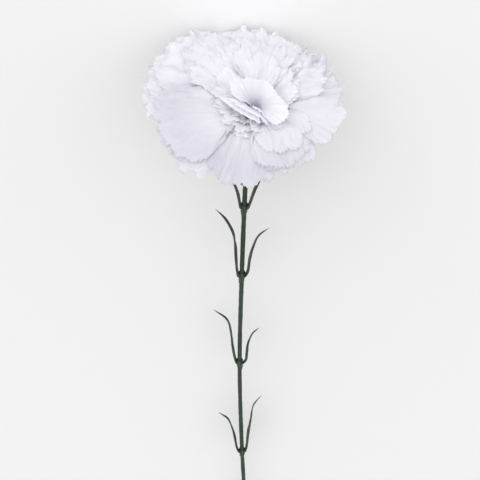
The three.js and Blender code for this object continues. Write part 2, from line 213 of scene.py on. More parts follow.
def moulded_plastic(name, dark, light):
    """Green plastic: mottled, and paler where the mesh's tint attribute says: flash, and on the leaves'
    side edges a painted highlight.
    """
    made, surface = new_material(name, (*light, 1), 0.5)
    surface.inputs["Specular IOR Level"].default_value = 0.3
    tree = made.node_tree
    body = mix_colours(tree, add_mottle(tree, 0.007, 0.0, 1.0), dark, light)
    paler = add_node(tree, "Attribute", attribute_name="tint").outputs["Fac"]
    tree.links.new(mix_colours(tree, paler, body, FLASH_AND_HIGHLIGHT_COLOUR), surface.inputs["Base Color"])
    tree.links.new(add_mottle(tree, 0.003, 0.5, 0.68), surface.inputs["Roughness"])
    skin = add_node(tree, "Bump", {"Height": add_mottle(tree, 0.0008, 0.0, 1.0), "Distance": 0.00008})
    tree.links.new(skin.outputs["Normal"], surface.inputs["Normal"])
    return made


core_plastic = moulded_plastic("core_plastic", (0.24, 0.32, 0.2), (0.29, 0.38, 0.24))
for node, finish in (("stem_wire", wire_steel), ("flower_core", core_plastic)):
    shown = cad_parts[node]
    shown.data.materials.clear()
    shown.data.materials.append(finish)

# ---------------------------------------------------------------- stem
# An extruded plastic sheath on the wire, with a swelling under each leaf pair where the leaves were
# pressed on hot. Flash stands along the mould's parting line there, paler than the rest.
STEM_RADIUS, STEM_WALL, STEM_TOP = 1.1, 0.45, 444.3
NODE_HEIGHTS = (118, 213, 298, 370, 421)
NODE_LENGTH, NODE_SWELLING = 5, 0.27
STEM_WAVE, STEM_GRAIN = 0.035, 0.015
SEAM_HEIGHT, SEAM_WIDTH = 0.07, 0.16  # the width as a turn about the stem
BURR_HEIGHT, BURR_WIDTH = 0.55, 0.3
BURR_FOOT, BURR_TOP = (7, 5), (3.6, 1.6)  # where it rises and ends, below the leaf pair
ROW_GAP = 0.6  # between the rows of points along the stem
WELD_WITHIN = 0.02
CUT_UNIT = 100  # millimetres in one unit of a piece of cloth's cut map


def unit(vectors):
    """Each vector made 1 long."""
    return vectors / np.linalg.norm(vectors, axis=-1, keepdims=True)


def smooth(start, end, x):
    """0 up to start and 1 from end on, with a soft rise between."""
    share = np.clip((x - start) / (end - start), 0, 1)
    return share * share * (3 - 2 * share)


def line_through(spots):
    """A smooth line through spots: a function of the length along it, giving places and directions."""
    spots = np.asarray(spots, float)
    ends = np.vstack([2 * spots[0] - spots[1], spots, 2 * spots[-1] - spots[-2]])
    t = np.linspace(0, 1, 32, endpoint=False)[:, None]
    runs = []
    for before, start, end, after in zip(ends, ends[1:], ends[2:], ends[3:]):
        a, b, c = (np.linalg.norm(q - p) ** 0.5 for p, q in ((before, start), (start, end), (end, after)))
        leave = ((start - before) / a - (end - before) / (a + b) + (end - start) / b) * b
        arrive = ((end - start) / b - (after - start) / (b + c) + (after - end) / c) * b
        square, cube = 3 * (end - start) - 2 * leave - arrive, 2 * (start - end) + leave + arrive
        runs.append(start + leave * t + square * t**2 + cube * t**3)
    path = np.vstack([*runs, spots[-1:]])
    steps = np.linalg.norm(np.diff(path, axis=0), axis=1)
    lengths = np.r_[0, np.cumsum(steps)]
    headings = unit(np.gradient(path, lengths, axis=0))

    def at(length):
        inside = np.clip(length, 0, lengths[-1])
        place = np.stack([np.interp(inside, lengths, path[:, k]) for k in range(3)], -1)
        heading = unit(np.stack([np.interp(inside, lengths, headings[:, k]) for k in range(3)], -1))
        return place + (length - inside)[..., None] * heading, heading

    at.length = lengths[-1]
    return at


def waves(draw, shortest, longest, count=5):
    """A bundle of uneven waves, about 1 high, and the same bundle a quarter wave on."""
    lengths = np.exp(draw.uniform(math.log(shortest), math.log(longest), count))
    phases = draw.uniform(0, 2 * math.pi, count)
    heights = draw.uniform(0.6, 1.0, count)
    heights /= math.sqrt((heights**2).sum() / 2)

    def at(x):
        angles = 2 * math.pi * x[..., None] / lengths + phases
        return (np.sin(angles) * heights).sum(-1) * 0.7, (np.cos(angles) * heights).sum(-1) * 0.7

    return at


def crumples(draw, shortest, longest, count=9):
    """Waves that cross each other in every direction over a flat piece of cloth."""
    lengths = np.exp(draw.uniform(math.log(shortest), math.log(longest), count))
    turns = draw.uniform(0, math.pi, count)
    phases = draw.uniform(0, 2 * math.pi, count)

    def at(x, y):
        far = (x[..., None] * np.cos(turns) + y[..., None] * np.sin(turns)) / lengths
        return np.sin(2 * math.pi * far + phases).sum(-1) / math.sqrt(count / 2) * 0.7

    return at


def onto_stem(spots):
    """Carries points modelled on a straight stem, +Y along it, onto the stem's own line."""
    place, heading = stem_line(spots[..., 1])
    side = unit(np.array([1.0, 0, 0]) - heading * heading[..., :1])
    front = np.cross(side, heading)
    return place + side * spots[..., :1] + front * spots[..., 2:]


def piece_from_grid(name, spots, wall=0, tint=None, cut=None):
    """A piece whose points lie on a grid of spots, thickened by wall: inwards if that is negative.

    Rows that meet are welded, but not in cloth, which has a flat cut and is thickened both ways.
    """
    rows, columns = spots.shape[:2]
    bpy.ops.object.select_all(action="DESELECT")
    bpy.ops.mesh.primitive_grid_add(x_subdivisions=columns - 1, y_subdivisions=rows - 1, size=2)
    piece = bpy.context.object
    piece.name = piece.data.name = name
    mesh = piece.data
    mesh.vertices.foreach_set("co", (spots * MM).reshape(-1).astype(np.float32))
    if tint is not None:
        shade = mesh.attributes.new("tint", "FLOAT", "POINT")
        shade.data.foreach_set("value", tint.reshape(-1).astype(np.float32))
    if cut is not None:
        corners = np.zeros(len(mesh.loops), np.int32)
        mesh.loops.foreach_get("vertex_index", corners)
        cut_map = mesh.uv_layers.new(name="cut")
        on_map = cut.reshape(-1, 2)[corners] / CUT_UNIT
        cut_map.data.foreach_set("uv", on_map.reshape(-1).astype(np.float32))
    mesh.update()
    bpy.ops.object.shade_smooth()
    if cut is None:
        weld = piece.modifiers.new("weld", "WELD")
        weld.merge_threshold = WELD_WITHIN * MM
        bpy.ops.object.modifier_apply(modifier=weld.name)
    if wall:
        thicken = piece.modifiers.new("wall", "SOLIDIFY")
        thicken.thickness = abs(wall) * MM
        thicken.offset = 0 if cut is not None else math.copysign(1, wall)
        bpy.ops.object.modifier_apply(modifier=thicken.name)
    return piece


def around(count):
    """Angles once round a piece, the last on the first."""
    return np.linspace(0, 2 * math.pi, count + 1)


stem_line = line_through(wire_middles)
stem_draw = np.random.default_rng(21)
lengths, turns = np.meshgrid(np.arange(0, STEM_TOP + 0.3, ROW_GAP), around(24), indexing="ij")
lengths = lengths.clip(0, STEM_TOP)
lumps, grain_waves = crumples(stem_draw, 0.9, 2.4), crumples(stem_draw, 1.5, 6)
arc = turns * 1.3
radius = STEM_RADIUS + STEM_WAVE * waves(stem_draw, 20, 60)(lengths)[0]
radius = radius + STEM_GRAIN * grain_waves(lengths / 3, arc)
flash = np.zeros_like(radius)
# the parting line runs along both sides, and burrs and swellings stand at the nodes
seam = np.exp(-(((turns - math.pi) / SEAM_WIDTH) ** 2))
seam = np.maximum(seam, np.exp(-((2 * np.sin(turns / 2) / SEAM_WIDTH) ** 2)))
radius += SEAM_HEIGHT * seam * (0.6 + 0.4 * waves(stem_draw, 4, 15)(lengths)[0])
for height in NODE_HEIGHTS:
    node = smooth(height - NODE_LENGTH, height - NODE_LENGTH + 1.6, lengths)
    node = node * (1 - smooth(height - 1.6, height - 0.4, lengths))
    radius += NODE_SWELLING * node * (1 + 0.35 * lumps(lengths, arc))
    side = stem_draw.choice([0.0, math.pi])
    burr = np.exp(-(((turns - side + math.pi) % (2 * math.pi) - math.pi) / BURR_WIDTH) ** 2)
    burr = burr * smooth(height - BURR_FOOT[0], height - BURR_FOOT[1], lengths)
    burr = burr * (1 - smooth(height - BURR_TOP[0], height - BURR_TOP[1], lengths))
    radius += BURR_HEIGHT * burr * (0.6 + 0.4 * lumps(lengths * 1.3, arc))
    flash = np.maximum(flash, 0.9 * burr + 0.3 * node * smooth(0.2, 1, lumps(lengths, arc + 5)))
spots = np.stack([radius * np.cos(turns), lengths, -radius * np.sin(turns)], -1)
stem = piece_from_grid("stem_sheath", onto_stem(spots), -STEM_WALL, flash)
stem_plastic = moulded_plastic("stem_plastic", (0.031, 0.05, 0.034), (0.05, 0.075, 0.05))
stem.data.materials.append(stem_plastic)
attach(stem, "root")
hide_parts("stem")

# ---------------------------------------------------------------- leaf pairs
# Two narrow channelled leaves moulded in dark green plastic on one collar, which is pushed onto the
# stem down to a swelling. Each leaf rises beside the stem, curls out and ends in a thin tip.
COLLAR_RADIUS, COLLAR_HEIGHT, COLLAR_WALL = 1.7, 2.6, 0.25
COLLAR_ROUNDING, COLLAR_LUMPS = 0.07, 0.08
LEAF_WIDTH, LEAF_THICKNESS, LEAF_CHANNEL = 3.1, 1.15, 0.6
LEAF_FORWARD = 1.4  # how far its tip comes to the front
LEAF_FOOT = (1.75, -0.6, 0)  # of the leaf's middle, on the collar
MIDRIB_HEIGHT, LEAF_TWIST = 0.12, 0.35
REACH_SHARES = (0.06, 0.3, 0.58, 0.83, 1)
# From the lowest pair up: how far each leaf rises and how far out it has come at those shares of it,
# first the right one, and how far the pair is turned about the stem, in degrees.
LEAF_PAIRS = (
    ((43, (2.8, 4, 5, 7.2, 11.5)), (46, (2.7, 3.9, 5.3, 8, 13)), -8),
    ((55, (2.6, 4, 5.7, 7.3, 11.9)), (39, (2.6, 3.7, 4.9, 7.4, 12.4)), 6),
    ((33, (3.2, 4, 4.7, 6.9, 10.2)), (41.4, (2.4, 3.8, 4.8, 7.1, 14.3)), -5),
    ((36.6, (2.9, 3.7, 5.1, 7.5, 12.3)), (49, (2.3, 3.4, 4.4, 8.5, 13.8)), 4),
    ((42, (2.4, 4.4, 7.2, 10.5, 14)), (40, (2.2, 3.8, 7, 9.8, 12.5)), -3),
)
leaf_plastic = moulded_plastic("leaf_plastic", (0.023, 0.036, 0.025), (0.042, 0.063, 0.042))


def leaf_grid(rise, reaches, hand, draw):
    """The grid of points round and along one leaf on a straight stem, and how pale each is: a painted
    highlight along its side edges, and a paler tip.
    """
    shares = np.array(REACH_SHARES)
    route = np.stack([np.array(reaches), shares * rise, LEAF_FORWARD * shares**2], -1)
    midline = line_through(np.vstack([LEAF_FOOT, route]))
    share, turn = np.meshgrid(np.linspace(0, 1, 90), around(20), indexing="ij")
    centre, along = midline(share * midline.length)
    outward = unit(np.stack([along[..., 1], -along[..., 0], 0 * share], -1))
    width = LEAF_WIDTH * (0.72 + 0.5 * smooth(0, 0.3, share)) * (1.04 - share) ** 0.55
    width = width * (1 + 0.06 * waves(draw, 8, 24)(share * rise)[0]) * np.sqrt(1 - share**9)
    thickness = LEAF_THICKNESS * (1.05 - 0.6 * share) * np.sqrt(1 - share**9)
    across = np.cos(turn) / 2
    fold = LEAF_CHANNEL * (2 * across) ** 2 * np.minimum(1, width / LEAF_WIDTH)
    midrib = MIDRIB_HEIGHT * np.exp(-((across / 0.06) ** 2)) * np.sign(np.sin(turn)) * (1 - share)
    out = np.sin(turn) / 2 * thickness * (1 - 0.55 * np.cos(turn) ** 2) - fold + midrib
    twist = LEAF_TWIST * waves(draw, 40, 90)(share * rise)[0] * smooth(0.1, 0.5, share)
    z = across * width
    spots = centre + outward * (out * np.cos(twist) - z * np.sin(twist))[..., None]
    spots[..., 2] += z * np.cos(twist) + out * np.sin(twist)
    # a painted highlight along both side edges of the leaf
    edge = smooth(0.93, 1, abs(np.cos(turn))) * (0.5 + 0.5 * waves(draw, 3, 12)(share * rise)[0])
    tip = smooth(0.9, 1, share)
    return spots * (hand, 1, hand), np.maximum(0.25 * edge, 0.5 * tip)


def joined(parts):
    """The first of the parts, with the others joined to it."""
    bpy.ops.object.select_all(action="DESELECT")
    for part in parts:
        part.select_set(True)
    bpy.context.view_layer.objects.active = parts[0]
    bpy.ops.object.join()
    return parts[0]


for number, (height, (right, left, turn)) in enumerate(zip(NODE_HEIGHTS, LEAF_PAIRS), 1):
    draw = np.random.default_rng(300 + number)
    rise, turns = np.meshgrid(np.linspace(0, 1, 13), around(24), indexing="ij")
    bulge = COLLAR_RADIUS - COLLAR_ROUNDING * (2 * rise - 1) ** 4
    bulge = bulge + COLLAR_LUMPS * crumples(draw, 1, 3)(rise * 3, turns * 2)
    rim = COLLAR_HEIGHT * (rise + 0.05 * np.sin(2 * turns) * rise)
    collar = np.stack([bulge * np.cos(turns), rim, -bulge * np.sin(turns)], -1)
    seam = np.exp(-((np.cos(turns) / 0.12) ** 2)) * 0.4
    grids = [(collar, seam, -COLLAR_WALL)]
    for leaf, hand in ((right, 1), (left, -1)):
        grids.append((*leaf_grid(*leaf, hand, draw), 0))
    parts = []
    for spots, flash, wall in grids:
        spots = spots @ np.array(Matrix.Rotation(math.radians(turn), 3, "Y")).T + (0, height, 0)
        parts.append(piece_from_grid(f"leaf_pair_{number}_moulded", onto_stem(spots), wall, flash))
    pair = joined(parts)
    pair.data.materials.append(leaf_plastic)
    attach(pair, "root")
    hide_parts(f"leaf_pair_{number}")

# ---------------------------------------------------------------- calyx and epicalyx
# The moulded cup that gathers the claws, with five teeth, and the four short bracts joined at its
# foot, which are a moulding of their own. Both slide onto the stem.
WIRE_TO_MOUTH = 12.8  # from the wire's top to the mouth of the calyx
CALYX_OUTLINE = (
    (1.4, -24), (2.4, -24), (3.6, -21.5), (5.2, -17), (6.8, -11), (7.3, -5), (7.8, 0), (9.3, 5.5),
)
CALYX_WALL, CALYX_TEETH, CALYX_NOTCH, CALYX_RIBS = 0.7, 5, 6.5, 0.1
BRACT_OUTLINE = ((1.4, -25.2), (3.4, -25.2), (4.6, -22.2), (6.3, -17.6), (7.9, -11.6))
BRACT_WALL, BRACTS, BRACT_NOTCH, BRACT_RIBS = 0.6, 4, 7.5, 0.05

bloom_turn = lie @ Vector((0, 1, 0)).rotation_difference(lie.inverted() @ neck).to_matrix()
bloom_mouth = Vector(wire_middles[-1]) + WIRE_TO_MOUTH * neck
calyx_plastic = moulded_plastic("calyx_plastic", (0.052, 0.088, 0.05), (0.085, 0.138, 0.078))


def onto_bloom(spots):
    """Carries points of the bloom, +Y out of its face and +Z to its front, to where it lies."""
    return spots @ np.array(bloom_turn).T + np.array(bloom_mouth)


def toothed_cup(name, outline, wall, teeth, notch, ribs):
    """A ribbed cup turned from its outline, whose mouth is cut into teeth with notches between."""
    profile = line_through([(*spot, 0) for spot in outline])
    share, turns = np.meshgrid(np.linspace(0, 1, 60), around(120), indexing="ij")
    from_tooth = abs(((turns - math.pi / 2) * teeth / (2 * math.pi) + 0.5) % 1 - 0.5) * 2
    reach = profile.length - notch * from_tooth**1.2
    place, _ = profile(share * reach)
    radius = place[..., 0] + ribs * np.cos(4 * teeth * turns) * smooth(0.15, 0.4, share)
    spots = np.stack([radius * np.cos(turns), place[..., 1], -radius * np.sin(turns)], -1)
    flash = 0.5 * smooth(0.85, 1, share) + 0.5 * (1 - smooth(0, 0.25, share))
    cup = piece_from_grid(name + "_moulded", onto_bloom(spots), -wall, flash)
    cup.data.materials.append(calyx_plastic)
    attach(cup, "root")
    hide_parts(name)
    return cup


calyx = toothed_cup("calyx", CALYX_OUTLINE, CALYX_WALL, CALYX_TEETH, CALYX_NOTCH, CALYX_RIBS)
toothed_cup("epicalyx", BRACT_OUTLINE, BRACT_WALL, BRACTS, BRACT_NOTCH, BRACT_RIBS)

# ---------------------------------------------------------------- petals
# Each petal is cut from thin white woven cloth with toothed shears, crimped with heat, and its
# claw is held in the calyx. The rings run from the outermost, 1, to the heart, 7.
BLOOM_RADIUS = 45
CLAW_LENGTH = 9.5
# The outermost ring's line from the calyx's mouth to its rim, as radius and height. The rings inside
# lie on it one on another, a gap apart.
BLADE_CURVE = ((5.6, 0), (5.6, 32), (14, 31.5), (46, 29.5))
RING_GAP = 0.8
# The side that each petal faces, in degrees, 90 at the front, and the radius of its rim. Those in
# front are cut short or long, so that the big outer ones lie open there.
RINGS = [
    ((96, 39.3), (141, 42.5), (190, 47), (238, 45), (290, 36), (338, 40), (54, 37)),
    ((60, 35.5), (106, 21), (152, 41), (206, 47), (256, 41), (302, 33.5), (8, 41)),
    ((96, 18), (157, 42), (213, 43), (268, 40), (320, 36.5), (52, 30.5)),
    ((66, 19.5), (118, 19), (178, 17), (234, 37), (288, 35), (338, 21)),
    ((88, 16), (150, 18), (226, 30), (282, 28.5), (326, 21)),
    ((42, 16), (120, 15), (207, 20), (284, 22)),
]
# How wide each ring's petals spread, in places in the ring, at the claw and the blade.
CLAW_SPREAD, BLADE_SPREAD = 0.29, (2 / 3, 2 / 3, 2 / 3, 2 / 3, 0.6, 0.45)
PINWHEEL, EDGE_DROP = 0.4, 0.3  # one side edge lies over the next petal, and both turn down
CORNER_CUT, LOBE_DEPTH = 0.27, (0.02, 0.02, 0.025, 0.035, 0.035, 0.035)
NEAR_DROOP, FAR_RISE, FAR_STAND = 13, 2, 3
# How high the waves stand that all the rings share, in smooth cloth and as much more in crushed.
FOLD_HEIGHT, PLEAT_HEIGHT, CRIMP_HEIGHT = (1.1, 0.7), (0.22, 1.1), (0.06, 0.65)
RUMPLE_HEIGHT, CREASE_HEIGHT = (0.12, 0.55), (0.03, 0.3)
# Those that are each petal's own.
BEND_HEIGHT, OWN_RUMPLE, RIM_CURL = 0.45, (0.12, 0.2), (0.3, 0.8)
HEART_LEAN = (3, 1)  # of the bloom's middle, to the right and the front
PRESS_FROM, PRESS_DEPTH = 10, 6  # above the table and into it
CLOTH_THICKNESS = 0.15
TOOTH_PITCH, TOOTH_DEPTH = 1.85, 1.2
SIDE_TOOTH_DEPTH = 1.6 * TOOTH_DEPTH
THREAD_RADIUS = 0.09
CLOTH_GAP, SOFT_TURN = 0.22, 0.12  # between two petals, and where one bends to lie on another
VERTS_PER_TOOTH = 4
NECK_LENGTH, NECK_ROWS, BLADE_ROWS, CLAW_ROWS = 16, 7, 48, 4
# Lengths from the calyx's mouth over which a petal widens, grows free to bend, and comes to rest on
# those below it. Nearer in, where the claws are packed, it isn't held above them.
WIDENS, FREED, RESTS = (10, 24), (12, 28), (6, 10)
PACKED = 9  # how far what is below counts as lowered there
BLADE_FROM = (12, 34)  # radii over which its blade begins
THREAD_LENGTHS = (3, 7)
BLOOM_SEED = 11

t = np.linspace(0, 1, 400)[:, None]
blade_path = sum(
    share * np.array(spot)
    for share, spot in zip(((1 - t) ** 3, 3 * (1 - t) ** 2 * t, 3 * (1 - t) * t**2, t**3), BLADE_CURVE)
)
blade_lengths = np.r_[0, np.cumsum(np.linalg.norm(np.diff(blade_path, axis=0), axis=1))]
blade_headings = unit(np.gradient(blade_path, blade_lengths, axis=0))


def blade_at(length):
    """The outermost ring's line at a length from the mouth: radius, height, and its direction."""
    return [np.interp(length, blade_lengths, column) for column in (*blade_path.T, *blade_headings.T)]


def rays(draw, fewest, most, count=6):
    """Waves round the bloom, a whole number of each, that run out along its radii."""
    numbers = draw.integers(fewest, most, count)
    phases = draw.uniform(0, 2 * math.pi, count)
    return lambda angle: np.sin(angle[..., None] * numbers + phases).sum(-1) / math.sqrt(count / 2) * 0.7


def crush_at(angle):
    """How crushed the cloth is on that side of the bloom: smooth in front, crumpled behind."""
    return 0.1 + 0.9 * smooth(-0.4, 0.55, -np.sin(angle + 0.245))


# the waves that all the rings share, so that they nest in each other
bloom_draw = np.random.default_rng(BLOOM_SEED)
wander, folds = crumples(bloom_draw, 18, 40), rays(bloom_draw, 5, 12)
pleats, crimps = rays(bloom_draw, 34, 64, 8), rays(bloom_draw, 80, 140, 8)
rumples, creases = crumples(bloom_draw, 7, 16), crumples(bloom_draw, 3.5, 7)


def nested_lift(angle, radius):
    """How far the cloth stands off its ring's own line at a place in the bloom, whatever the ring."""
    x, z = radius * np.cos(angle), radius * np.sin(angle)
    crush, out = crush_at(angle), smooth(*BLADE_FROM, radius)
    swayed = angle + 0.05 * wander(x, z)
    size = radius / BLOOM_RADIUS
    near, far = np.maximum(0, np.sin(angle)), np.maximum(0, -np.sin(angle))
    rise = FAR_RISE * far * out - NEAR_DROOP * near * smooth(20, 46, radius)
    rise = rise + FAR_STAND * far * smooth(7, 15, radius) * (1 - smooth(20, 36, radius))

    def tall(height):
        return height[0] + height[1] * crush

    along_rays = tall(FOLD_HEIGHT) * folds(swayed)
    along_rays = along_rays + tall(PLEAT_HEIGHT) * pleats(swayed) + tall(CRIMP_HEIGHT) * crimps(swayed)
    all_ways = tall(RUMPLE_HEIGHT) * rumples(x, z) + tall(CREASE_HEIGHT) * creases(x, z)
    return rise + along_rays * size * out + all_ways * smooth(9, 18, radius)


# A map of the cloth laid so far: how high it stands at each angle round the bloom and each length
# along the rings' line. A petal that is laid on it is held CLOTH_GAP above it.
MAP_ANGLES = np.radians(np.arange(0, 360, 0.5))
MAP_LENGTHS = np.arange(0, 60, 0.3)
map_angle, map_length = np.meshgrid(MAP_ANGLES, MAP_LENGTHS, indexing="ij")
map_nested = nested_lift(map_angle, blade_at(map_length)[0])
cloth_top = np.full(map_angle.shape, -10.0)


def spread_out(heights, cells):
    """The highest of the neighbouring cells, then the mean of them, so that no edge leaves a step."""
    for pick in (np.maximum, lambda one, two: (one + two) / 2):
        for _ in range(cells):
            for axis in (0, 1):
                heights = pick(heights, pick(np.roll(heights, 1, axis), np.roll(heights, -1, axis)))
    return heights


def read_map(heights, angle, length):
    """The map's height at any angle and length, between its cells."""
    across = (angle / MAP_ANGLES[1]) % len(MAP_ANGLES)
    along = np.clip(length / MAP_LENGTHS[1], 0, len(MAP_LENGTHS) - 1.001)
    a, b = across.astype(int), along.astype(int)
    p, q = across - a, along - b
    next_a = (a + 1) % len(MAP_ANGLES)
    a = a % len(MAP_ANGLES)
    return (1 - p) * ((1 - q) * heights[a, b] + q * heights[a, b + 1]) + p * (
        (1 - q) * heights[next_a, b] + q * heights[next_a, b + 1]
    )


def leaning(radius, height, angle):
    """Places in the bloom, whose middle leans a little to one side."""
    lean = smooth(10, 36, height) * (1 - radius / BLOOM_RADIUS)
    x = radius * np.cos(angle) + lean * HEART_LEAN[0]
    z = radius * np.sin(angle) + lean * HEART_LEAN[1]
    return np.stack([x, height, z], -1)


def saw_teeth(count):
    """A row of teeth over that many points: 1 at the foot of each side of a tooth, 0 at its tip."""
    return np.abs((np.arange(count) / VERTS_PER_TOOTH) % 1 - 0.5) * 2


def lay_petal(ring_number, facing, rim, draw):
    """The places of a petal's grid of points in the bloom, in millimetres, and its flat cut."""
    pitch = 2 * math.pi / len(RINGS[ring_number])
    length = np.interp(rim, blade_path[:, 0], blade_lengths)
    half_width = BLADE_SPREAD[ring_number] * pitch * rim
    bend, lobes, bite = waves(draw, 12, 26), waves(draw, 6, 26), waves(draw, 3, 8)
    ruffle, swerve, rumple = waves(draw, 3.5, 8), waves(draw, 10, 25), crumples(draw, 4, 10)

    def freedom(y):
        """How free it is at that length to bend on its own: not at all where it is gathered."""
        return smooth(*FREED, y)

    def spread_at(y):
        """How wide it spreads at that length, in places in its ring."""
        return CLAW_SPREAD + (BLADE_SPREAD[ring_number] - CLAW_SPREAD) * smooth(*WIDENS, y)

    def outline_at(u):
        """How much of its full length it reaches there: less at the corners, and in shallow lobes."""
        return 1 - CORNER_CUT * u**4 + LOBE_DEPTH[ring_number] * lobes(u * half_width)[0]

    def lift_at(u, y, crush, nested):
        """How far the cloth would stand off the rings' line if nothing lay under it."""
        x = u * half_width
        own = BEND_HEIGHT * bend(x)[0] + (OWN_RUMPLE[0] + OWN_RUMPLE[1] * crush) * rumple(x, y)
        own = own + PINWHEEL * u * spread_at(y) - EDGE_DROP * smooth(0.6, 1, abs(u))
        rising = smooth(0.7, 1, y / (outline_at(u) * length)) ** 1.5
        curl = (RIM_CURL[0] + RIM_CURL[1] * crush) * rising
        curl = curl * (0.5 + ruffle(x + 1.2 * swerve(y)[0])[0])
        return ring_number * RING_GAP + own * freedom(y) + nested + curl

    def hold_above(lift, under):
        """The lift, held above what is under it, with a soft turn from one to the other."""
        return under + SOFT_TURN * np.logaddexp(0, (lift - under) / SOFT_TURN)

    # what the petal will lie on, and then the map with the petal itself added to it
    under = spread_out(cloth_top, 3) + CLOTH_GAP - PACKED * (1 - smooth(*RESTS, map_length))
    turn = (map_angle - math.radians(facing) + math.pi) % (2 * math.pi) - math.pi
    u = turn / pitch / spread_at(map_length)
    inside = (abs(u) <= 1) & (map_length <= outline_at(u.clip(-1, 1)) * length)
    laid = hold_above(lift_at(u.clip(-1, 1), map_length, crush_at(map_angle), map_nested), under)
    np.maximum(cloth_top, laid, out=cloth_top, where=inside)

    # the grid of points: u from one side edge to the other, v from the mouth of the calyx to the rim
    teeth = round(2 * half_width / TOOTH_PITCH)
    neck = NECK_LENGTH / length
    u, v = np.meshgrid(
        np.linspace(-1, 1, teeth * VERTS_PER_TOOTH + 1),
        np.r_[np.linspace(0, neck, NECK_ROWS, endpoint=False), np.linspace(neck, 1, BLADE_ROWS)],
    )
    # teeth along the rim, and larger ones along the outer half of both side edges
    saw = saw_teeth(u.shape[1]) * (1 + 0.5 * bite(u[0] * half_width)[0])
    y = v * outline_at(u) * length - saw * TOOTH_DEPTH * smooth(0.93, 1, v)
    radius, height, out, up = blade_at(y)
    side_saw = saw_teeth(len(v))[:, None] * SIDE_TOOTH_DEPTH * smooth(0.35, 0.5, v)
    side_saw = side_saw * smooth(0.86, 1, abs(u)) * np.sign(u)
    angle = math.radians(facing) + u * spread_at(y) * pitch - side_saw / np.maximum(radius, 8)
    lift = lift_at(u, y, crush_at(angle), nested_lift(angle, radius))
    lift = hold_above(lift, read_map(under, angle, y))

    spots = leaning(radius - lift * up, height + lift * out, angle)
    # the claw, below the blade's first row
    claw = np.linspace(-1, 0, CLAW_ROWS, endpoint=False)[:, None] * CLAW_LENGTH + 0 * u[:1]
    claw_rows = np.repeat(spots[:1], len(claw), axis=0)
    claw_rows[..., 1] += claw
    across = u * spread_at(y) * pitch * radius
    cut = np.stack([np.vstack([across[:1] + 0 * claw, across]), np.vstack([claw, y])], -1)
    return np.vstack([claw_rows, spots]), cut


def press_onto_table(spots):
    """Pushes up what would pass through the table, so that the rim is flattened where it rests."""
    short = np.maximum(0, PRESS_FROM - spots[..., 2])
    spots = spots.copy()
    spots[..., 2] += PRESS_DEPTH / (PRESS_FROM + PRESS_DEPTH) ** 2 * short**2
    spots[..., 2] = np.maximum(spots[..., 2], CLOTH_THICKNESS)
    return spots


# The cloth: a plain weave and the fine creases that run along the petal, both on its flat cut, and
# light that comes through from behind.
WEAVE_PITCH = 0.42
THROUGH = 0.52  # of the light that meets the cloth
WHITE_CLOTH, WHITEST_CLOTH = (0.908, 0.904, 0.934), (0.936, 0.931, 0.958)
# painted shade: the darker cloth, and the dimmer light through it, where the tint attribute says
PAINTED_SHADE_CLOTH = (0.72, 0.713, 0.78)
LIGHT_THROUGH, LIGHT_THROUGH_PAINTED_SHADE = (0.975, 0.97, 0.985), (0.83, 0.825, 0.885)
petal_cloth, petal_surface = new_material("petal_cloth", (*WHITE_CLOTH, 1), 0.8)
tree = petal_cloth.node_tree
cut_place = add_node(tree, "UVMap", uv_map="cut").outputs["UV"]
tone = mix_colours(tree, add_mottle(tree, 0.02, 0.0, 1.0), WHITE_CLOTH, WHITEST_CLOTH)
# how much painted shade each place of the cloth has
painted_shade = add_node(tree, "Attribute", attribute_name="tint").outputs["Fac"]
tree.links.new(mix_colours(tree, painted_shade, tone, PAINTED_SHADE_CLOTH), petal_surface.inputs["Base Color"])
tree.links.new(add_mottle(tree, 0.006, 0.72, 0.88), petal_surface.inputs["Roughness"])
# a wave texture has about 20 bands in each unit at scale 1
weave_scale = CUT_UNIT / WEAVE_PITCH / 20
warp, weft = (
    add_node(tree, "TexWave", {
        "Vector": cut_place, "Scale": weave_scale, "Distortion": 0.6, "Detail Scale": 2.0,
    }, bands_direction=direction).outputs["Fac"]
    for direction in "XY"
)
weave = add_node(tree, "Math", {0: warp, 1: weft}, operation="ADD")
weave_bump = add_node(tree, "Bump", {"Height": weave.outputs[0], "Strength": 0.35, "Distance": 0.00006})
stretched = add_node(tree, "VectorMath", {0: cut_place, 1: (100.0, 9.0, 1.0)}, operation="MULTIPLY")
streaks = add_node(tree, "TexNoise", {"Vector": stretched.outputs[0], "Scale": 1.0, "Detail": 4.0})
cloth_bump = add_node(tree, "Bump", {
    "Height": streaks.outputs["Fac"], "Strength": 0.6, "Distance": 0.0006,
    "Normal": weave_bump.outputs["Normal"],
})
tree.links.new(cloth_bump.outputs["Normal"], petal_surface.inputs["Normal"])
glow = add_node(tree, "BsdfTranslucent", {"Normal": cloth_bump.outputs["Normal"]})
thin_tone = mix_colours(tree, painted_shade, LIGHT_THROUGH, LIGHT_THROUGH_PAINTED_SHADE)
tree.links.new(thin_tone, glow.inputs["Color"])
cloth = add_node(tree, "MixShader", {0: THROUGH, 1: petal_surface.outputs[0], 2: glow.outputs[0]})
tree.links.new(cloth.outputs[0], tree.nodes["Material Output"].inputs["Surface"])


def area_of(grid):
    """The area of the cells of a grid of points."""
    crossed = np.cross(np.diff(grid, axis=1)[:-1], np.diff(grid, axis=0)[:, :-1])
    return np.linalg.norm(crossed, axis=-1).sum()


def finish_petal(name, spots, cut, tint, loose_threads=()):
    # the flat cut is scaled to have the area that the cloth has
    flat = np.concatenate([cut, 0 * cut[..., :1]], -1)
    cut = cut * math.sqrt(area_of(spots) / area_of(flat))
    parts = [piece_from_grid(name + "_cloth", spots, CLOTH_THICKNESS, tint, cut)]
    parts += [piece_from_grid(name + "_thread", strand, THREAD_RADIUS) for strand in loose_threads]
    petal = joined(parts) if len(parts) > 1 else parts[0]
    petal.data.materials.append(petal_cloth)
    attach(petal, "root")
    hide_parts(name)


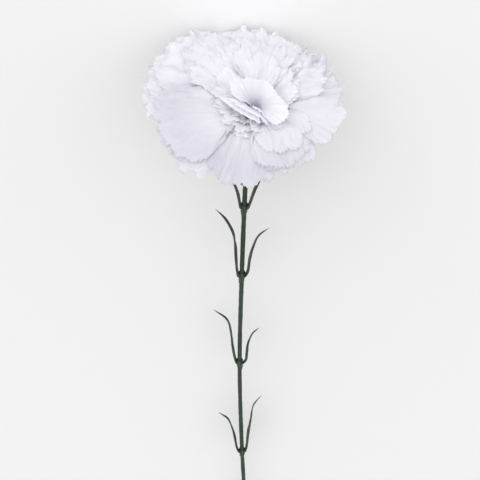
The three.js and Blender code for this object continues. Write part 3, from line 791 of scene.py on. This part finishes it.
def fray(spots, draw, count):
    """Threads that have come loose at the rim of a petal's grid of points: thin ribbons of points."""
    strands = []
    for column in draw.choice(np.arange(4, spots.shape[1] - 4), count, replace=False):
        out = unit(spots[-1, column] - spots[-6, column])
        side = unit(spots[-1, column + 1] - spots[-1, column - 1])
        share = np.linspace(0, 1, 12)[:, None]
        reach, swing, bend = draw.uniform(*THREAD_LENGTHS), draw.normal(0, 0.5), draw.normal(0, 1.6)
        line = spots[-3, column] + share * reach * (out + swing * side)
        line = line + bend * share**2 * (np.cross(out, side) + 0.6 * side)
        strand = np.stack([line - THREAD_RADIUS * side, line + THREAD_RADIUS * side], 1)
        strands.append(press_onto_table(onto_bloom(strand)))
    return strands


# how much painted shade each petal's blade has, where it isn't the least that every petal has, and the
# loose threads at its rim
LEAST_PAINTED_SHADE = 0.08
PAINTED_SHADE_BY_PETAL = {
    "petal_1_1": 0.75, "petal_1_2": 0.45, "petal_1_7": 0.45, "petal_2_1": 0.45, "petal_1_6": 0.3,
    "petal_2_3": 0.45, "petal_2_7": 0.35, "petal_3_2": 0.5, "petal_3_6": 0.25,
}
FRAYED = {
    "petal_1_3": 5, "petal_1_5": 9, "petal_1_6": 22, "petal_1_7": 3, "petal_2_4": 5, "petal_2_6": 12,
}
for ring_number, petals in enumerate(RINGS):
    # laid from the far side round to it again, each petal's edge over the one that was laid before it
    far_first = max(range(len(petals)), key=lambda number: -math.sin(math.radians(petals[number][0])))
    for step in range(len(petals)):
        number = (far_first - 1 - step) % len(petals)
        name = f"petal_{ring_number + 1}_{number + 1}"
        draw = np.random.default_rng(ring_number * 100 + number)
        spots, cut = lay_petal(ring_number, *petals[number], draw)
        threads = fray(spots, draw, FRAYED.get(name, 0))
        # painted shade, none where the blade begins and full over its outer part
        tint = PAINTED_SHADE_BY_PETAL.get(name, LEAST_PAINTED_SHADE) * smooth(*BLADE_FROM, np.hypot(spots[..., 0], spots[..., 2]))
        finish_petal(name, press_onto_table(onto_bloom(spots)), cut, tint, threads)

# ---------------------------------------------------------------- heart
# The three petals of the heart, of the same cloth. The first is rolled into a funnel that opens to
# the right and the front, and the other two are folded strips beside its mouth. Each one is given by
# the line of its rim.
HEART_NECK = np.array([2.9, 24, 0.4])
NECK_SHARE = 0.45  # of a heart petal's rows, up to the neck
STALK_RISE, FLARE_RISE = 14, 6.5  # straight out of the claw, and out of the neck before it flares
FLARE_SHARE = 0.16
CREASE_DEPTH, RIM_SWAY = 0.22, 0.25
RIM_TEETH = (0.03, 0.045)  # how far the rim's teeth reach past the line, and how deep they are cut
HEART_CUT_LENGTH, CLAW_SHARE = 43, 0.3  # of a heart petal's cut, whose claw is narrower than its rim
# a petal narrower than that at the neck is given painted shade there: at that share of its rows, and so far
# off it
NARROW_NECK, SHADE_AT, SHADE_REACH = 2, 0.47, 0.13
# The radius of a claw and the angles that it spans, how far the petal is from the heart's middle at
# the neck, and the line of its rim.
HEART_PETALS = (
    (0.6, 220, 380, 1.4, (
        (-3.2, 37, 6.3), (-7.7, 38, 2.9), (-8.3, 40, -0.6), (-7.5, 41, -3.4), (-4, 40.5, -3.1),
        (-0.5, 41, -3.4), (3, 41, -2.3), (6.5, 40.5, -2.7), (9.5, 39, -0.6), (11.9, 38, 3.2),
        (14.5, 37.5, 6.3), (16.3, 36.5, 9.9), (16, 36, 13.4), (13, 35.5, 16.4), (9.8, 35, 16.9),
        (7.2, 35.3, 14.2), (4.5, 36, 11.1), (1, 36.5, 8.9),
    )),
    (1.05, 185, 75, 2.7, (
        (-13.2, 38.3, 5.1), (-9.7, 37.3, 8.1), (-5.7, 36.6, 11.1), (-1.6, 35.8, 13.5), (4.6, 35.2, 17),
    )),
    (0.5, 180, 80, 2.05, (
        (-8.9, 37.8, 5.3), (-5.4, 37.2, 8.5), (-1.8, 36.7, 10.9), (2.2, 36.2, 12.9), (5.2, 35.9, 15.2),
        (7.9, 35.4, 18.1),
    )),
)


def lay_heart_petal(claw_radius, claw_from, claw_to, neck_radius, rim_spots, draw):
    """A petal of the heart, from its claw on the bloom's middle, through the neck, to its rim."""
    rim = line_through(rim_spots)
    teeth = round(rim.length / TOOTH_PITCH)
    across = np.linspace(0, 1, teeth * VERTS_PER_TOOTH + 1)
    v = (np.linspace(0, 1, BLADE_ROWS) ** 0.85)[:, None, None]
    edge, _ = rim(across * rim.length)
    claw_turn = np.radians(claw_from + across * (claw_to - claw_from))
    claw = claw_radius * np.stack([np.cos(claw_turn), 0 * across, np.sin(claw_turn)], -1)
    outward = unit((edge - HEART_NECK) * (1, 0, 1))
    neck = HEART_NECK + neck_radius * outward
    sway = RIM_SWAY * waves(draw, 4, 9)(across * rim.length)[0]
    edge = edge + sway[:, None] * unit(np.cross(edge - neck, (0, 1, 0)))
    edge = edge + (edge - neck) * (RIM_TEETH[0] - RIM_TEETH[1] * saw_teeth(len(across)))[:, None]
    handle = neck + (0, FLARE_RISE, 0) + FLARE_SHARE * (edge - neck)
    below = claw + (0, STALK_RISE, 0)
    lower = np.clip(v / NECK_SHARE, 0, 1)
    upper = np.clip((v - NECK_SHARE) / (1 - NECK_SHARE), 0, 1)
    stalk = (1 - lower) ** 2 * claw + 2 * (1 - lower) * lower * below + lower**2 * neck
    flare = (1 - upper) ** 2 * neck + 2 * (1 - upper) * upper * handle + upper**2 * edge
    spots = np.where(v < NECK_SHARE, stalk, flare)
    x = (across - 0.5) * rim.length
    crease = CREASE_DEPTH * waves(draw, 2.5, 6)(x)[0] * smooth(0.5, 1, v[..., 0])
    sideways = unit(np.gradient(spots, axis=1) + 1e-9)
    upward = unit(np.gradient(spots, axis=0) + 1e-9)
    spots = spots + np.cross(sideways, upward) * crease[..., None]
    drop = np.linspace(-1, 0, CLAW_ROWS, endpoint=False)[:, None, None] * (0, CLAW_LENGTH, 0)
    spots = np.vstack([spots[:1] + drop, spots])
    rows = np.linspace(-0.2, 1, len(spots))[:, None]
    cut_width = x * (CLAW_SHARE + (1 - CLAW_SHARE) * rows.clip(0))
    cut = np.stack([cut_width, rows * HEART_CUT_LENGTH + 0 * x], -1)
    # painted shade on the funnel at its neck, deep in the bloom
    shade = np.exp(-(((v[..., 0] - SHADE_AT) / SHADE_REACH) ** 2)) + 0 * across
    shade = shade * (neck_radius < NARROW_NECK)
    return spots, cut, np.vstack([np.repeat(shade[:1], CLAW_ROWS, axis=0), shade])


for number, heart_petal in enumerate(HEART_PETALS):
    spots, cut, shade = lay_heart_petal(*heart_petal, np.random.default_rng(700 + number))
    finish_petal(f"petal_7_{number + 1}", onto_bloom(spots), cut, shade)
